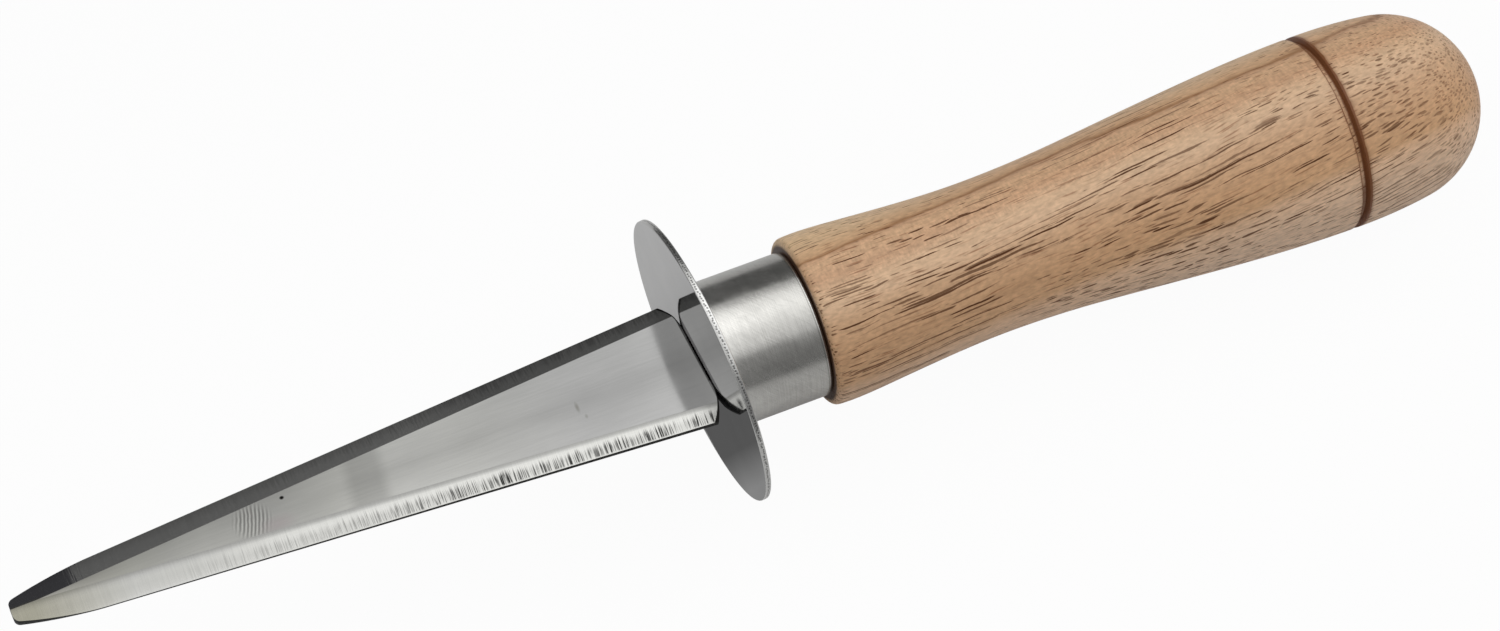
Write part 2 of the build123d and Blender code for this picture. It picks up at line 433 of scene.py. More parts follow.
print("the painted dark reflection is", 2 * dark_reflection_rim, "mm wide, at", dark_reflection_x, "mm")

# %% Scratches, stain, smear and pit
flat_levels = add_node(buffed, VECTOR, {0: tone, 1: reflection_across}, operation="MULTIPLY")[0]
for level in (haze_share, line_share, swirl_share, dark_reflection_share):
    flat_levels = add_node(buffed, VECTOR, {0: flat_levels, "Scale": level}, operation="SCALE")[0]

flat_marks = [
    {"place": (-16.0, -0.7), "reach": (0.3, 0.9), "strength": 0.6, "colour": "#5E5D56"},
    {"place": (-15.4, -2.2), "reach": (0.25, 0.4), "strength": 0.4, "colour": "#5E5D56"},
    {"place": (-56.5, 0.9), "reach": (0.2, 1.1), "strength": 0.4, "colour": "#6B6866"},
    {"place": (-54.0, -1.5), "reach": (2.8, 1.4), "strength": 0.35, "colour": "#83787A"},
    {"place": (-52.5, 1.5), "reach": (0.34, 0.28), "strength": 1.6, "colour": "#0C0C0B"},
]
buffed_colour = flat_levels
for mark in flat_marks:
    offset = add_node(buffed, VECTOR, {0: buffed_mm, 1: (*mark["place"], 0)}, operation="SUBTRACT")[0]
    squeeze = (*per_size(*mark["reach"]), 0)
    squeezed = add_node(buffed, VECTOR, {0: offset, 1: squeeze}, operation="MULTIPLY")[0]
    distance = add_node(buffed, VECTOR, {0: squeezed}, operation="LENGTH")["Value"]
    share = add_node(
        buffed, RANGE, {"Value": distance, "From Min": 1.0, "From Max": 0.2, "To Max": mark["strength"]}
    )[0]
    mark_colour = linear(mark["colour"])
    buffed_colour = add_node(
        buffed, MIX, {0: share, 6: buffed_colour, 7: mark_colour}, data_type="RGBA"
    )[2]
print("marks on the flats:", len(flat_marks))

# %% Buffed surface
buffed_colour = lay_heel_shade(buffed, buffed_mm, buffed_colour)
buffed_roughness = add_node(buffed, RANGE, {"Value": haze, **noise_range, "To Min": 0.08, "To Max": 0.14})[0]
buffed_bump = add_node(buffed, BUMP, {"Strength": 0.15, "Distance": 0.002 * MM, "Height": buff_lines})[0]
buffed_surface = add_node(
    buffed, SURFACE,
    {"Base Color": buffed_colour, "Metallic": 1.0, "Roughness": buffed_roughness, "Normal": buffed_bump},
)[0]
add_node(buffed, OUTPUT, {"Surface": buffed_surface})
print("buffed steel:", len(buffed.nodes), "nodes")

# %% [markdown]
# ## Ground steel
# The bevels are ground across the blade on a belt of about grit 120, so fine scratches run from
# the flat down to the edge. The lower bevel carries a painted highlight beside the flat and is
# streaky towards the edge. The upper bevel is darker near the heel, and its tip is darkened with
# painted shade. The pattern needs to know how far across the bevel a point is, which is worked out
# from the same slopes as the shape, and the scratches are a noise that is squeezed along the blade
# and long across it. A real scratch is 0.05 mm wide, and here they are 0.16 mm wide in bundles of
# 0.7 mm, so that the render can show them.

# %% Place on a bevel
ground_steel, ground, ground_mm = new_material("belt_ground_stainless_steel")
ground_xyz = add_node(ground, SPLIT, {0: ground_mm})
off_centre = add_node(ground, MATH, {0: ground_xyz["Y"]}, operation="ABSOLUTE")[0]
border_y, edge_y = (
    add_node(ground, MATH, {0: ground_xyz["X"], 1: slope, 2: half_width}, operation="MULTIPLY_ADD")[0]
    for slope, half_width in ((border_slope, flat_heel_half_width), (edge_slope, heel_half_width))
)
past_border = add_node(ground, MATH, {0: off_centre, 1: border_y}, operation="SUBTRACT")[0]
bevel_width = add_node(ground, MATH, {0: edge_y, 1: border_y}, operation="SUBTRACT")[0]
across_bevel = add_node(ground, MATH, {0: past_border, 1: bevel_width}, operation="DIVIDE")[0]
print("a bevel is", round(heel_half_width - flat_heel_half_width, 2), "mm wide at the heel")

# %% Scratch pattern
scratch_size = (0.16, 5, 5)
bundle_size = (0.7, 9, 9)
scratch_place = add_node(ground, VECTOR, {0: ground_mm, 1: per_size(*scratch_size)}, operation="MULTIPLY")[0]
scratches = add_node(
    ground, NOISE, {"Vector": scratch_place, "Scale": 1.0, "Detail": 2.0, "Roughness": 0.6}
)[0]
bundle_place = add_node(ground, VECTOR, {0: ground_mm, 1: per_size(*bundle_size)}, operation="MULTIPLY")[0]
bundles = add_node(ground, NOISE, {"Vector": bundle_place, "Scale": 1.0, "Detail": 2.0})[0]
print("scratches are", scratch_size[0], "mm wide, in bundles of", bundle_size[0], "mm")

# %% Tone of the bevels, with a painted highlight beside the flat
# The lower bevel's ramps paint a highlight beside the flat, where a rounded border would catch the light.
tip_stops = [
    (0.0, "#9C9C99"), (0.1, "#B2B2AF"), (0.2, "#C2C2BF"), (0.33, "#CACAC6"), (0.58, "#C9C9C5"),
    (0.84, "#CFCFCB"), (0.97, "#D8D8D5"),
]
middle_stops = [
    (0.0, "#9C9C99"), (0.12, "#B0B0AD"), (0.26, "#D8D8D4"), (0.4, "#DCDCD8"), (0.54, "#D6D6D2"),
    (0.68, "#CFCFCB"), (0.82, "#D3D3CF"), (0.97, "#D8D8D4"),
]
upper_stops = [(0.0, "#CFCFCD"), (0.5, "#CBCBC9"), (1.0, "#B6B6B4")]
tip_tone, middle_tone, upper_tone = (
    add_node(ground, RAMP, {0: across_bevel}, stops=ramp_stops(stops))["Color"]
    for stops in (tip_stops, middle_stops, upper_stops)
)
towards_middle = add_node(
    ground, RANGE, {"Value": ground_xyz["X"], "From Min": -68.0, "From Max": -52.0},
    interpolation_type="SMOOTHSTEP",
)[0]
lower_tone = add_node(ground, MIX, {0: towards_middle, 6: tip_tone, 7: middle_tone}, data_type="RGBA")[2]
warm_share = add_node(ground, RANGE, {"Value": ground_xyz["X"], "From Min": -72.0, "From Max": -84.0})[0]
warm_tint = linear("#DBD8C9")
warm_tone = add_node(
    ground, MIX, {0: warm_share, 6: lower_tone, 7: warm_tint}, data_type="RGBA", blend_type="MULTIPLY"
)[2]
print("the lower bevel has", len(tip_stops), "tones at the tip and", len(middle_stops), "further back")

# %% Painted shade at the upper bevel's tip, and a darker upper bevel near the heel
upper_heel_darkening = 0.7
# Past this ragged line the upper bevel's tip is darkened with painted shade.
tip_shade_start, tip_shade_end = -75.3, -76.3
tip_shade_raggedness = 5.0
tip_shade_tint = linear("#A0A0A7")
near_heel = add_node(
    ground, RANGE,
    {
        "Value": ground_xyz["X"], "From Min": -36.0, "From Max": -25.0,
        "To Min": 1.0, "To Max": upper_heel_darkening,
    },
)[0]
heel_darkened_tone = add_node(ground, VECTOR, {0: upper_tone, "Scale": near_heel}, operation="SCALE")[0]
tip_shade_edge = add_node(
    ground, MATH, {0: scratches, 1: tip_shade_raggedness, 2: ground_xyz["X"]}, operation="MULTIPLY_ADD"
)[0]
tip_shade_zone = add_node(ground, RANGE, {"Value": tip_shade_edge, "From Min": tip_shade_start, "From Max": tip_shade_end})[0]
tip_shaded_tone = add_node(
    ground, MIX, {0: tip_shade_zone, 6: heel_darkened_tone, 7: tip_shade_tint}, data_type="RGBA", blend_type="MULTIPLY"
)[2]
upper_side = add_node(ground, RANGE, {"Value": ground_xyz["Y"], "From Min": -0.1, "From Max": 0.3})[0]
bevel_tone = add_node(ground, MIX, {0: upper_side, 6: warm_tone, 7: tip_shaded_tone}, data_type="RGBA")[2]
print("painted shade darkens the upper bevel beyond", tip_shade_end, "mm")

# %% Scratches on the bevels
scratch_tone = "#242423"
scratch_start = add_node(ground, MATH, {0: bundles, 1: 0.55, 2: across_bevel}, operation="MULTIPLY_ADD")[0]
scratch_reach = add_node(
    ground, RANGE, {"Value": scratch_start, "From Min": 0.55, "From Max": 0.9},
    interpolation_type="SMOOTHSTEP",
)[0]
scratch_end = add_node(ground, RANGE, {"Value": across_bevel, "From Min": 0.99, "From Max": 0.9})[0]
towards_heel = add_node(ground, RANGE, {"Value": ground_xyz["X"], "From Min": -68.0, "From Max": -30.0})[0]
scratch_depth = add_node(
    ground, RANGE, {"Value": scratches, "From Min": 0.44, "From Max": 0.6}, interpolation_type="SMOOTHSTEP"
)[0]
scratch_crowd = add_node(
    ground, RANGE, {"Value": bundles, "From Min": 0.35, "From Max": 0.6, "To Min": 0.6}
)[0]
scratch_side = add_node(ground, RANGE, {"Value": upper_side, "To Min": 1.0, "To Max": 0.3})[0]
scratch_dark = scratch_depth
for share in (scratch_reach, scratch_end, towards_heel, scratch_crowd, scratch_side):
    scratch_dark = add_node(ground, MATH, {0: scratch_dark, 1: share}, operation="MULTIPLY")[0]
faint_lines = add_node(ground, RANGE, {"Value": scratches, **noise_range, "To Min": 1.05, "To Max": 0.95})[0]
lined_tone = add_node(ground, VECTOR, {0: bevel_tone, "Scale": faint_lines}, operation="SCALE")[0]
ground_colour = add_node(
    ground, MIX, {0: scratch_dark, 6: lined_tone, 7: linear(scratch_tone)}, data_type="RGBA"
)[2]
print("dark scratches take the tone", scratch_tone)

# %% Ground surface
ground_colour = lay_heel_shade(ground, ground_mm, ground_colour)
ground_bump = add_node(ground, BUMP, {"Strength": 0.3, "Distance": 0.004 * MM, "Height": scratches})[0]
ground_surface = add_node(
    ground, SURFACE,
    {"Base Color": ground_colour, "Metallic": 1.0, "Roughness": 0.2, "Normal": ground_bump},
)[0]
add_node(ground, OUTPUT, {"Surface": ground_surface})
print("ground steel:", len(ground.nodes), "nodes")

# %% [markdown]
# ## Sheared steel
# The sides of the sheet are left as the press sheared them, and their near-black colour is
# painted shade. It shows along the thin edges, and as the black line between the blade and its
# mirror image in the guard.

# %% Painted shade on the sheared sides
shaded_side_steel, sheared, sheared_mm = new_material("sheared_steel_painted_shade")
side_noise_place = add_node(sheared, VECTOR, {0: sheared_mm, 1: per_size(0.3, 0.3, 0.3)}, operation="MULTIPLY")[0]
side_noise = add_node(sheared, NOISE, {"Vector": side_noise_place, "Scale": 1.0, "Detail": 3.0})[0]
side_shade_stops = [(0.35, "#1E1E1D"), (0.65, "#353534")]
side_shade_colour = add_node(sheared, RAMP, {0: side_noise}, stops=ramp_stops(side_shade_stops))["Color"]
side_bump = add_node(sheared, BUMP, {"Strength": 0.5, "Distance": 0.02 * MM, "Height": side_noise})[0]
sheared_surface = add_node(
    sheared, SURFACE,
    {"Base Color": side_shade_colour, "Metallic": 1.0, "Roughness": 0.5, "Normal": side_bump},
)[0]
add_node(sheared, OUTPUT, {"Surface": sheared_surface})
print("sheared steel:", len(sheared.nodes), "nodes")

# %% [markdown]
# ## The blade's shape
# The plan is drawn flat as a few corners, the curves of the heel and the tip are vertex bevels,
# and the sheet is extruded. Each grind is then a cut with a tilted plane, which is what the belt
# does.

# %% Blade plan
def corner_near(bm, x, y):
    """The vertex of a flat plan nearest to a place in mm."""
    target = Vector((x * MM, y * MM))
    return min(bm.verts, key=lambda vert: (vert.co.xy - target).length)


def round_corner(bm, x, y, reach, segments):
    """Turn a corner of the plan into an arc that starts a given distance from it."""
    bmesh.ops.bevel(
        bm, geom=[corner_near(bm, x, y)], offset=reach * MM, offset_type="OFFSET",
        segments=segments, profile=0.5, affect="VERTICES", material=-1, clamp_overlap=False,
    )


def blade_plan():
    """The outline of the blade as one flat face, seen from above."""
    behind_guard = 2.0
    tip_steps, nose_steps = 14, 7
    arc_end_gap = 0.06 * MM
    heel_half = heel_half_width + edge_slope * behind_guard
    edge_direction = Vector((-1, -edge_slope)).normalized()
    to_nose = Vector((taper_length - blade_length, nose_half_width - taper_end_half_width))
    tip_reach = to_nose.length_squared / (2 * to_nose.dot(edge_direction))
    tip_corner = Vector((-taper_length, taper_end_half_width)) + edge_direction * tip_reach
    bm = bmesh.new()
    upper = [(behind_guard, heel_half), tuple(tip_corner), (-blade_length, nose_half_width)]
    lower = [(x, -y) for x, y in reversed(upper)]
    bm.faces.new([bm.verts.new((x * MM, y * MM, 0)) for x, y in upper + lower])
    for side in (1, -1):
        round_corner(bm, tip_corner.x, side * tip_corner.y, tip_reach, tip_steps)
    # The tip's arcs end just beside the nose corners, which have to be one vertex to be rounded.
    bmesh.ops.remove_doubles(bm, verts=bm.verts, dist=arc_end_gap)
    for side in (1, -1):
        round_corner(bm, -blade_length, side * nose_half_width, nose_corner_reach, nose_steps)
    return bm


def cut_heel(bm):
    """Cut the plan off at the guard, with shoulders that curve away from it."""
    shoulder_steps, corner_steps = 8, 4
    reach = (shoulder_rise**2 + heel_setback**2) / (2 * shoulder_rise)
    lean = Matrix.Rotation(guard_lean_across, 3, "Z")
    slice_off(bm, Vector((0, 0, 0)), lean @ Vector((1, 0, 0)))
    for side in (1, -1):
        corner = Vector((0, side * (heel_bearing_half + reach), 0))
        shoulder = Vector((-heel_setback, side * heel_half_width, 0)) - corner
        outward = shoulder.cross(Vector((0, 0, 1))) * side
        at = lean @ corner
        slice_off(bm, at * MM, lean @ outward)
        round_corner(bm, at.x, at.y, reach, shoulder_steps)
    for side in (1, -1):
        at = lean @ Vector((-heel_setback, side * heel_half_width, 0))
        round_corner(bm, at.x, at.y, heel_corner_reach, corner_steps)


blade_bm = blade_plan()
cut_heel(blade_bm)
plan_length = max(vert.co.x for vert in blade_bm.verts) - min(vert.co.x for vert in blade_bm.verts)
print("blade plan:", len(blade_bm.verts), "corners,", round(plan_length / MM, 2), "mm long")


# %% Blade solid
BUFFED, GROUND, SHEARED = 0, 1, 2
edge_rounding = 0.05 * MM
edge_angle_deg = 12


def cut_away(bm, point, outward, material_index):
    """Cut off what lies outside a plane, and close the cut with one face."""
    bmesh.ops.edgeloop_fill(bm, edges=slice_off(bm, point, outward), mat_nr=material_index)


def thicken_plan(bm):
    """Extrude the flat plan to the thickness of the sheet, centred on the knife's axis."""
    bmesh.ops.translate(bm, verts=bm.verts, vec=(0, 0, -blade_half_thickness * MM))
    grown = bmesh.ops.extrude_face_region(bm, geom=bm.faces[:])
    top = [item for item in grown["geom"] if isinstance(item, bmesh.types.BMVert)]
    bmesh.ops.translate(bm, verts=top, vec=(0, 0, 2 * blade_half_thickness * MM))
    bmesh.ops.recalc_face_normals(bm, faces=bm.faces)
    bm.normal_update()


def mark_sheared_sides(bm):
    """Give the sides of the sheet, which the press cut, their near-black finish of painted shade."""
    upright = 0.3
    for face in bm.faces:
        if abs(face.normal.z) < upright:
            face.material_index = SHEARED


def grind_bevels(bm):
    """The four ground bevels, each a cut with one plane."""
    for side in (1, -1):
        for face in (1, -1):
            heel = Vector((0, side * flat_heel_half_width, face * blade_half_thickness))
            tip = Vector((-flat_length, 0, face * blade_half_thickness))
            edge = Vector((0, side * heel_half_width, face * edge_land_half_at_heel))
            outward = (heel - tip).cross(edge - heel) * (side * face)
            cut_away(bm, heel * MM, outward.normalized(), material_index=GROUND)


def soften_heel(bm):
    """Break the heel's upper and lower edges where they meet the guard."""
    lean = Matrix.Rotation(guard_lean_across, 3, "Z")
    for face in (1, -1):
        point = lean @ Vector((-heel_rim_length, 0, face * blade_half_thickness))
        outward = lean @ Vector((heel_rim_depth, 0, face * heel_rim_length))
        cut_away(bm, point * MM, outward.normalized(), material_index=BUFFED)


def add_tang(bm):
    """The hidden tang behind the heel, a separate shell that starts inside the blade."""
    start, end = -heel_setback, 62.0
    half_width_at_heel, half_width_at_end = 3.0, 2.0
    half_thickness = 1.05
    for vert in bmesh.ops.create_cube(bm, size=1.0)["verts"]:
        at_end = vert.co.x > 0
        half_width = half_width_at_end if at_end else half_width_at_heel
        vert.co.x = (end if at_end else start) * MM
        vert.co.y = math.copysign(half_width, vert.co.y) * MM
        vert.co.z = math.copysign(half_thickness, vert.co.z) * MM


thicken_plan(blade_bm)
mark_sheared_sides(blade_bm)
soften_heel(blade_bm)
grind_bevels(blade_bm)
print("blade edges rounded:", round_hard_edges(blade_bm, edge_rounding, edge_angle_deg))
add_tang(blade_bm)
blade = finish_piece(
    blade_bm, "blade_with_tang", [buffed_steel, ground_steel, shaded_side_steel], "blade"
)
shade_small_faces(blade, flat_area_mm2=1.5)

# %% [markdown]
# ## The guard's finish
# The guard is punched from bright stainless sheet and mirror polished, so it shows the blade and
# the room, slightly blurred by buffing lines. Its rim is the edge that the punch tore: a row of
# dark tears about a third of a millimetre apart, between two bright lines. The buffing lines are
# drawn 0.12 mm wide, coarser than they are, so that the render can show them.

# %% Guard values
guard_radius = 18.3
guard_thickness = 0.75
guard_edge_radius = 0.15
round_steps = 192
guard_normal = Vector((
    math.cos(guard_lean_across) * math.cos(guard_lean_through),
    math.sin(guard_lean_across) * math.cos(guard_lean_through),
    math.sin(guard_lean_through),
))
print("guard faces", [round(value, 3) for value in guard_normal])

# %% Mirror steel of the guard
mirror_steel, mirror, mirror_mm = new_material("mirror_polished_stainless_sheet")
mirror_place = add_node(mirror, VECTOR, {0: mirror_mm, 1: per_size(6, 6, 6)}, operation="MULTIPLY")[0]
mirror_cloud = add_node(mirror, NOISE, {"Vector": mirror_place, "Scale": 1.0, "Detail": 3.0})[0]
mirror_stops = [(0.3, "#B4B4B4"), (0.7, "#BCBCBC")]
mirror_colour = add_node(mirror, RAMP, {0: mirror_cloud}, stops=ramp_stops(mirror_stops))["Color"]
wipe_place = add_node(mirror, VECTOR, {0: mirror_mm, 1: per_size(1, 0.12, 5)}, operation="MULTIPLY")[0]
wipe_lines = add_node(mirror, NOISE, {"Vector": wipe_place, "Scale": 1.0, "Detail": 2.0})[0]
mirror_roughness = add_node(mirror, RANGE, {"Value": wipe_lines, "To Min": 0.04, "To Max": 0.08})[0]
mirror_surface = add_node(
    mirror, SURFACE, {"Base Color": mirror_colour, "Metallic": 1.0, "Roughness": mirror_roughness}
)[0]
add_node(mirror, OUTPUT, {"Surface": mirror_surface})
print("mirror steel:", len(mirror.nodes), "nodes")

# %% Punched rim of the guard
tear_spacing, tear_height = 0.34, 0.3
punched_steel, punched, punched_mm = new_material("punched_stainless_edge")
round_guard_mm = length_round_axis(punched, punched_mm, guard_radius)
rim_depth = add_node(punched, VECTOR, {0: punched_mm, 1: guard_normal}, operation="DOT_PRODUCT")["Value"]
unrolled_rim = add_node(punched, JOIN, {0: round_guard_mm, 1: rim_depth})[0]
tear_scale = per_size(tear_spacing, tear_height, 1)
tear_place = add_node(punched, VECTOR, {0: unrolled_rim, 1: tear_scale}, operation="MULTIPLY")[0]
tears = add_node(
    punched, CELLS, {"Vector": tear_place, "Scale": 1.0, "Randomness": 0.6}, voronoi_dimensions="2D"
)["Distance"]
tear_mask = add_node(punched, RANGE, {"Value": tears, "From Min": 0.5, "From Max": 0.25})[0]
from_middle = add_node(punched, MATH, {0: rim_depth, 1: guard_thickness / 2}, operation="SUBTRACT")[0]
off_middle = add_node(punched, MATH, {0: from_middle}, operation="ABSOLUTE")[0]
tear_band = add_node(punched, RANGE, {"Value": off_middle, "From Min": 0.24, "From Max": 0.12})[0]
specks = add_node(punched, MATH, {0: tear_mask, 1: tear_band}, operation="MULTIPLY")[0]
speck_share = add_node(punched, MATH, {0: specks, 1: 0.75}, operation="MULTIPLY")[0]
speck_colour = add_node(
    punched, MIX, {0: speck_share, 6: linear("#CDCDCB"), 7: linear("#2E2E2D")}, data_type="RGBA"
)[2]
speck_bump = add_node(
    punched, BUMP, {"Strength": 0.4, "Distance": 0.02 * MM, "Height": specks}, invert=True
)[0]
punched_surface = add_node(
    punched, SURFACE,
    {"Base Color": speck_colour, "Metallic": 1.0, "Roughness": 0.2, "Normal": speck_bump},
)[0]
add_node(punched, OUTPUT, {"Surface": punched_surface})
print("the rim has about", round(math.tau * guard_radius / tear_spacing), "tears")

# %% [markdown]
# ## The guard's shape
# The guard is a thin disc with a slot for the tang, and it sits a little out of square, as
# pressed guards do. The slot is bridged to a circle, so that the tang really passes through, and
# the ring is extruded to the sheet's thickness.

# %% Guard
MIRROR, PUNCHED = 0, 1
slot_half_thickness, slot_half_width = 1.15, 3.1


def guard_sheet():
    """The punched disc, made flat and then stood up on the knife's axis."""
    bm = bmesh.new()
    bmesh.ops.create_circle(bm, cap_ends=False, radius=guard_radius * MM, segments=round_steps)
    outer_edges = bm.edges[:]
    corners = [(-1, -1), (1, -1), (1, 1), (-1, 1)]
    slot = [
        bm.verts.new((across * slot_half_thickness * MM, along * slot_half_width * MM, 0))
        for across, along in corners
    ]
    slot_edges = [bm.edges.new((slot[i - 1], slot[i])) for i in range(4)]
    bmesh.ops.bridge_loops(bm, edges=outer_edges + slot_edges)
    grown = bmesh.ops.extrude_face_region(bm, geom=bm.faces[:])
    back = [item for item in grown["geom"] if isinstance(item, bmesh.types.BMVert)]
    bmesh.ops.translate(bm, verts=back, vec=(0, 0, guard_thickness * MM))
    bmesh.ops.recalc_face_normals(bm, faces=bm.faces)
    round_hard_edges(bm, guard_edge_radius * MM, angle_deg=30, segments=3)
    bm.normal_update()
    sideways = 0.75
    for face in bm.faces:
        face.material_index = PUNCHED if abs(face.normal.z) < sideways else MIRROR
    quarter_turn = Matrix.Rotation(math.pi / 2, 4, "Y")
    lean = Vector((1, 0, 0)).rotation_difference(guard_normal).to_matrix().to_4x4()
    bmesh.ops.transform(bm, matrix=lean @ quarter_turn, verts=bm.verts)
    return bm


guard = finish_piece(
    guard_sheet(), "round_guard", [mirror_steel, punched_steel], "guard_disc"
)
shade_small_faces(guard, flat_area_mm2=0.5)

# %% [markdown]
# ## Satin steel
# The ferrule is cut from drawn stainless tube and rubbed with fine abrasive wool by hand, so it
# is satin, with thin crossing scratches and slightly cloudy patches. Its colour carries painted
# light: lighter near the guard, a painted highlight on the rear lip between painted dark lines,
# and painted shade at the end against the wood. To run scratches round a tube, the pattern needs
# the length along the tube and the length round it, which is the angle times the radius. The real
# scratches are finer than 0.05 mm, and here they are 0.12 to 0.14 mm wide, so that the render can
# show them.

# %% Painted light along the tube
ferrule_radius = 9.15
ferrule_wall = 0.8
ferrule_end = 13.75
ferrule_lip_radius = 0.45
satin_steel, satin, satin_mm = new_material("hand_rubbed_stainless_tube")
along_tube = add_node(satin, SPLIT, {0: satin_mm})["X"]
round_tube = length_round_axis(satin, satin_mm, ferrule_radius)
unrolled = add_node(satin, JOIN, {0: along_tube, 1: round_tube})[0]
# Painted light: lighter near the guard, a painted highlight on the rear lip between painted dark lines, and
# painted shade at the end against the wood.
tube_light_stops = [
    (0.5, "#C9C8C4"), (5.5, "#BCBBB7"), (9.0, "#B7B6B2"), (13.05, "#B7B6B2"), (13.15, "#8C8B88"),
    (13.25, "#B7B6B2"), (13.32, "#E4E4E2"), (13.6, "#E4E4E2"), (13.68, "#4A4A48"),
]
tube_share = add_node(satin, RANGE, {"Value": along_tube, "From Min": 0.0, "From Max": ferrule_end})[0]
tube_painted_light = add_node(satin, RAMP, {0: tube_share}, stops=ramp_stops(tube_light_stops, 0.0, ferrule_end))["Color"]
print("the tube is", ferrule_end, "mm long and", 2 * ferrule_radius, "mm across")

# %% Clouds and scratches on the tube
cloud_size = (3.0, 1.6, 1)
rub_size = (3.5, 0.14, 1)
ring_size = (0.12, 9, 1)
rub_angle = math.radians(52)
rub_waviness = 1.2
cloud_place = add_node(satin, VECTOR, {0: unrolled, 1: per_size(*cloud_size)}, operation="MULTIPLY")[0]
satin_cloud = add_node(
    satin, NOISE, {"Vector": cloud_place, "Scale": 1.0, "Detail": 4.0, "Roughness": 0.6}
)[0]
rub_turn = add_node(satin, "ShaderNodeMapping", {"Vector": unrolled, "Rotation": (0, 0, rub_angle)})[0]
rub_bend = add_node(satin, VECTOR, {0: satin_cloud, "Scale": rub_waviness}, operation="SCALE")[0]
rub_bent = add_node(satin, VECTOR, {0: rub_turn, 1: rub_bend}, operation="ADD")[0]
rub_place = add_node(satin, VECTOR, {0: rub_bent, 1: per_size(*rub_size)}, operation="MULTIPLY")[0]
rub_lines = add_node(satin, NOISE, {"Vector": rub_place, "Scale": 1.0, "Detail": 2.0})[0]
ring_place = add_node(satin, VECTOR, {0: unrolled, 1: per_size(*ring_size)}, operation="MULTIPLY")[0]
ring_lines = add_node(satin, NOISE, {"Vector": ring_place, "Scale": 1.0, "Detail": 2.0})[0]
scratch_sum = add_node(satin, MATH, {0: rub_lines, 1: ring_lines}, operation="ADD")[0]
print("rubbed scratches are", rub_size[1], "mm wide, at", round(math.degrees(rub_angle)), "degrees")

# %% Satin surface
cloud_share = add_node(satin, RANGE, {"Value": satin_cloud, **noise_range, "To Min": 0.92, "To Max": 1.07})[0]
scratch_share = add_node(
    satin, RANGE, {"Value": scratch_sum, "From Min": 0.7, "From Max": 1.3, "To Min": 0.88, "To Max": 1.12}
)[0]
clouded = add_node(satin, VECTOR, {0: tube_painted_light, "Scale": cloud_share}, operation="SCALE")[0]
satin_colour = add_node(satin, VECTOR, {0: clouded, "Scale": scratch_share}, operation="SCALE")[0]
satin_roughness = add_node(
    satin, RANGE, {"Value": satin_cloud, **noise_range, "To Min": 0.18, "To Max": 0.26}
)[0]
satin_bump = add_node(satin, BUMP, {"Strength": 0.8, "Distance": 0.006 * MM, "Height": scratch_sum})[0]
satin_surface = add_node(
    satin, SURFACE,
    {"Base Color": satin_colour, "Metallic": 1.0, "Roughness": satin_roughness, "Normal": satin_bump},
)[0]
add_node(satin, OUTPUT, {"Surface": satin_surface})
print("satin steel:", len(satin.nodes), "nodes")

# %% [markdown]
# ## The ferrule's shape
# A ferrule is a short tube that keeps the wood from splitting. Its outline is spun once round
# the knife's axis, the front end is cut on the guard's leaning back face, and the lip is rounded.

# %% Ferrule
def ferrule_tube():
    """The tube, spun, cut at the guard and rounded at its rear lip."""
    bm = bmesh.new()
    bore = ferrule_radius - ferrule_wall
    before_guard = -3.0
    verts = profile_line(bm, [
        (before_guard, bore), (before_guard, ferrule_radius),
        (ferrule_end, ferrule_radius), (ferrule_end, bore),
    ])
    bm.edges.new((verts[-1], verts[0]))
    spin_round_knife(bm, round_steps)
    rims = slice_off(bm, guard_normal * guard_thickness * MM, -guard_normal)
    bmesh.ops.bridge_loops(bm, edges=rims)
    bm.normal_update()
    print("lip edges rounded:", round_rim(bm, ferrule_end, bore, ferrule_lip_radius))
    return bm


ferrule = finish_piece(ferrule_tube(), "steel_ferrule", [satin_steel], "ferrule")
shade_up_to_angle(ferrule, 35)

# %% [markdown]
# ## Rubberwood
# The handle is turned from rubberwood and lightly oiled: pale tan wood, with growth layers that
# differ a little in colour, long open pores that show as dark brown dashes, and fine pale
# ripples. The pattern is built as a solid, so that layers and pores run through the wood, and a
# dash on the side becomes a dot on the rounded butt, as in the real piece. Painting it on the
# surface would need two patterns and a seam.

# %% Coordinates along the grain
waist_x, waist_curve, layer_curve = 37.0, 0.0012, 0.001
board_turn = (math.radians(-24.6), 0, math.radians(-3.2))
board_shift = (0, 1.7, 0)
rubberwood, wood, wood_mm = new_material("turned_oiled_rubberwood")
board = add_node(
    wood, "ShaderNodeMapping", {"Vector": wood_mm, "Location": board_shift, "Rotation": board_turn}
)[0]
grain = add_node(wood, SPLIT, {0: board})
from_waist = add_node(wood, MATH, {0: grain["X"], 1: waist_x}, operation="SUBTRACT")[0]
waist_square = add_node(wood, MATH, {0: from_waist, 1: from_waist}, operation="MULTIPLY")[0]
past_waist = add_node(wood, MATH, {0: from_waist, 1: 0.0}, operation="MAXIMUM")[0]
past_square = add_node(wood, MATH, {0: past_waist, 1: past_waist}, operation="MULTIPLY")[0]
pore_y, pore_z = (
    add_node(wood, MATH, {0: square, 1: -curve, 2: grain[axis]}, operation="MULTIPLY_ADD")[0]
    for square, curve, axis in ((past_square, layer_curve, "Y"), (waist_square, waist_curve, "Z"))
)
straight = add_node(wood, JOIN, {0: grain["X"], 1: pore_y, 2: pore_z})[0]
print("the grain bends at the waist, at", waist_x, "mm")

